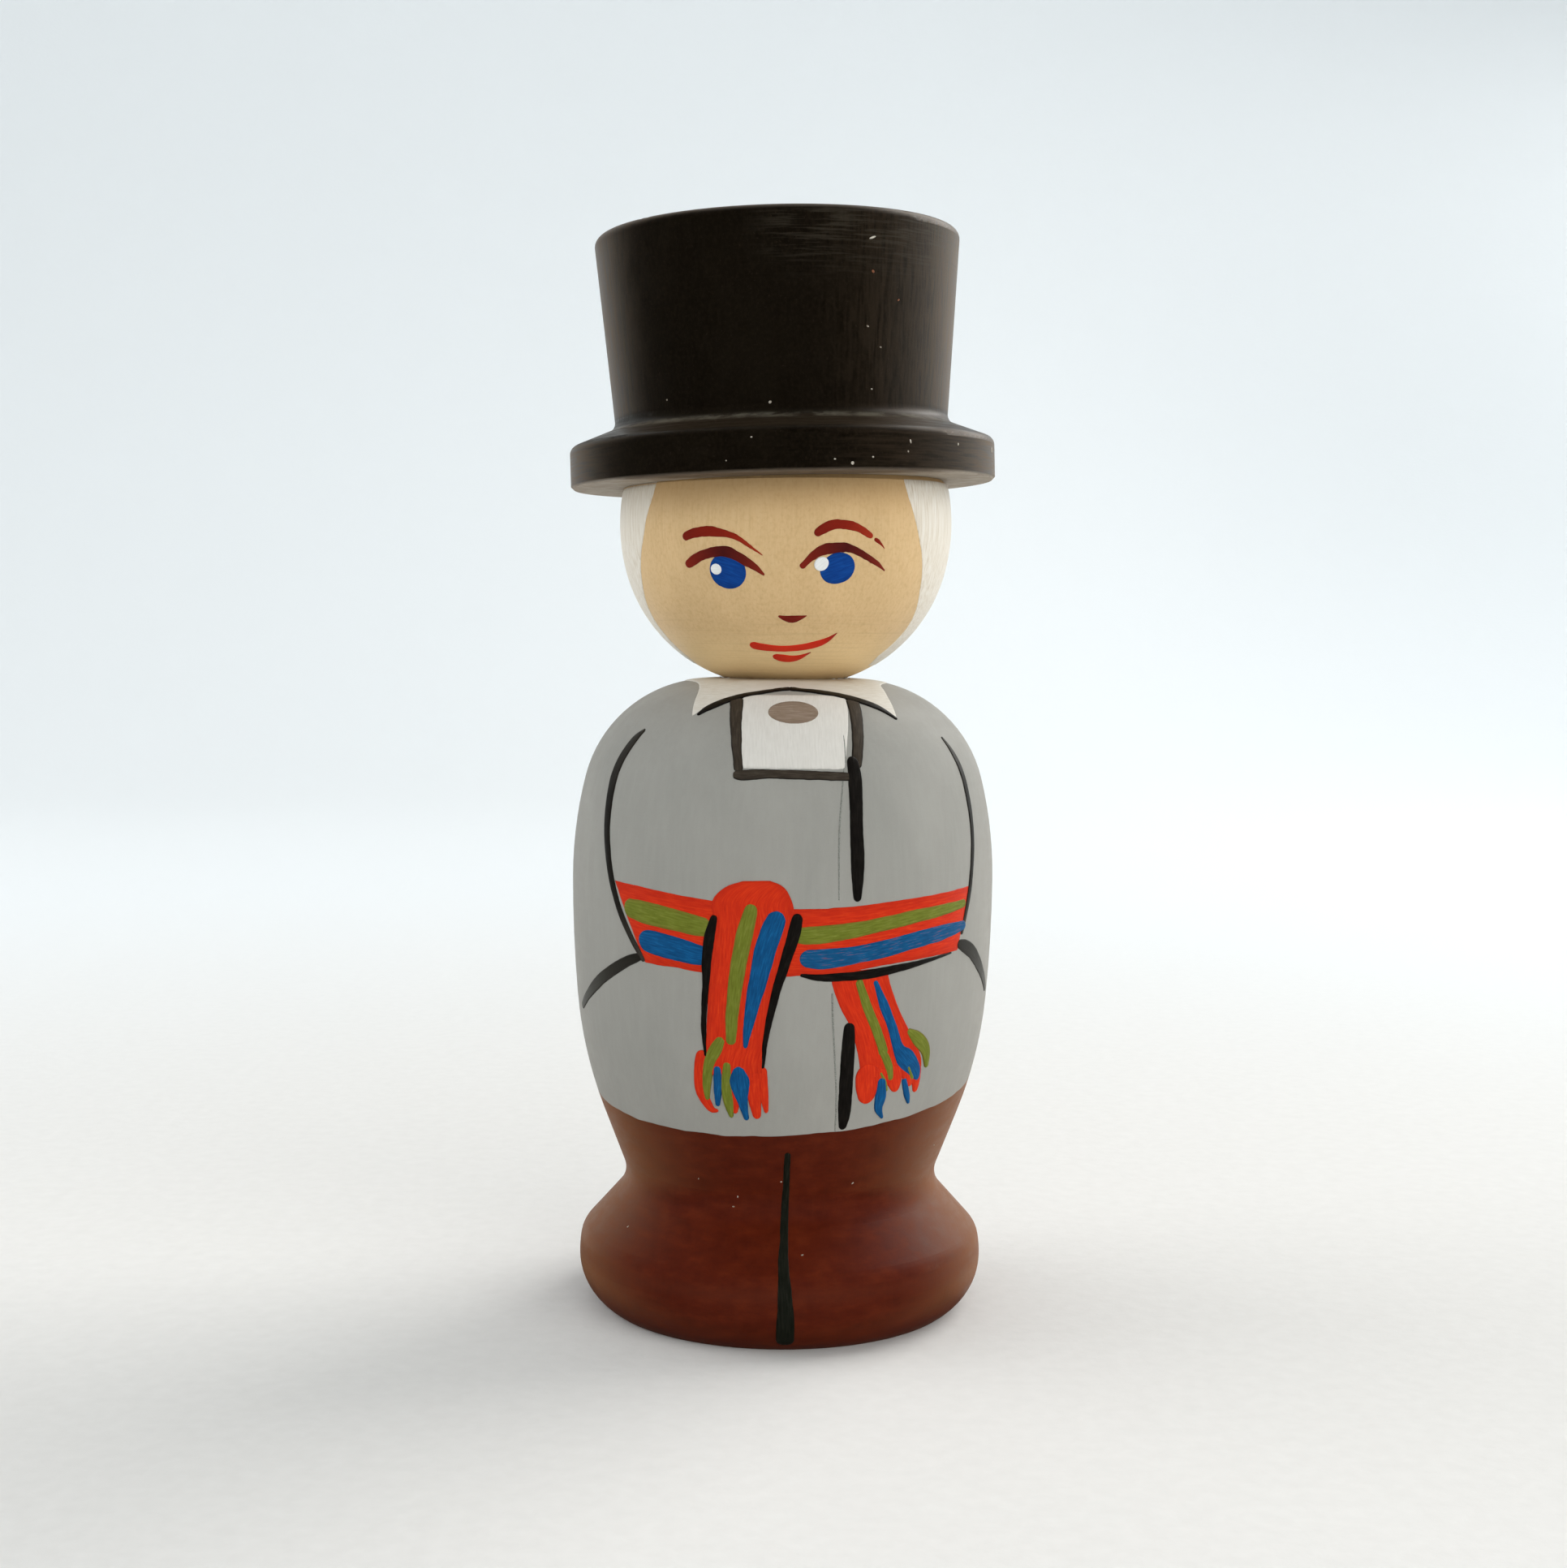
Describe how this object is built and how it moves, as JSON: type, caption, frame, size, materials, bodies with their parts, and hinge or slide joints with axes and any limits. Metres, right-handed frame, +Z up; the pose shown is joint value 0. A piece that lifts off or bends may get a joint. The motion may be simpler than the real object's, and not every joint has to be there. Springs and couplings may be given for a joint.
{
  "type": "turned wooden figurine",
  "caption": "Lathe-turned painted wooden figurine: ball head that turns on a doweled neck, flared top hat glued on askew, barrel-shaped coat over a waisted, flared foot.",
  "frame": {"origin": "centre of the round base, on the plane it stands on", "axes": "+Z up along the body's turning axis, the painted face looks towards -Y, +X is the figurine's left hand"},
  "size_m": [0.0462, 0.0458, 0.1163],
  "materials": {
    "painted_body": "brushed satin paint over turned wood: grey coat, brown trousers and foot",
    "bare_wood": "clear-varnished turned wood with white painted hair",
    "painted_hat": "thin brushed black satin paint over turned wood",
    "white_paint": "thin brushed white paint over wood: hair, collar, shirt front, glints in the eyes",
    "red_paint": "brushed satin red paint over the coat: sash, knot, tails, tassels and lips",
    "green_paint": "brushed satin olive green paint over the red: sash stripes and tassel strands",
    "blue_paint": "brushed satin blue paint: sash stripes, tassel strands and eyes",
    "line_paint": "black and thinned black-brown paint drawn with a fine brush: outlines of coat, collar, arms and trousers",
    "brow_paint": "red-brown paint drawn with a fine brush: eyebrows, eyelids and nose",
    "dowel_wood": "raw fluted dowel, inside the glued joints"
  },
  "bodies": {
    "figure": {"body": "painted_body", "neck_dowel": "dowel_wood"},
    "head_and_hat": {"head": "bare_wood", "hat": "painted_hat", "hat_dowel": "dowel_wood"}
  },
  "joints": [
    {"name": "head_turn", "type": "hinge", "parent": "figure", "child": "head_and_hat", "pos_m": [0, 0, 0.0685], "axis": [0, 0, 1], "continuous": true}
  ]
}
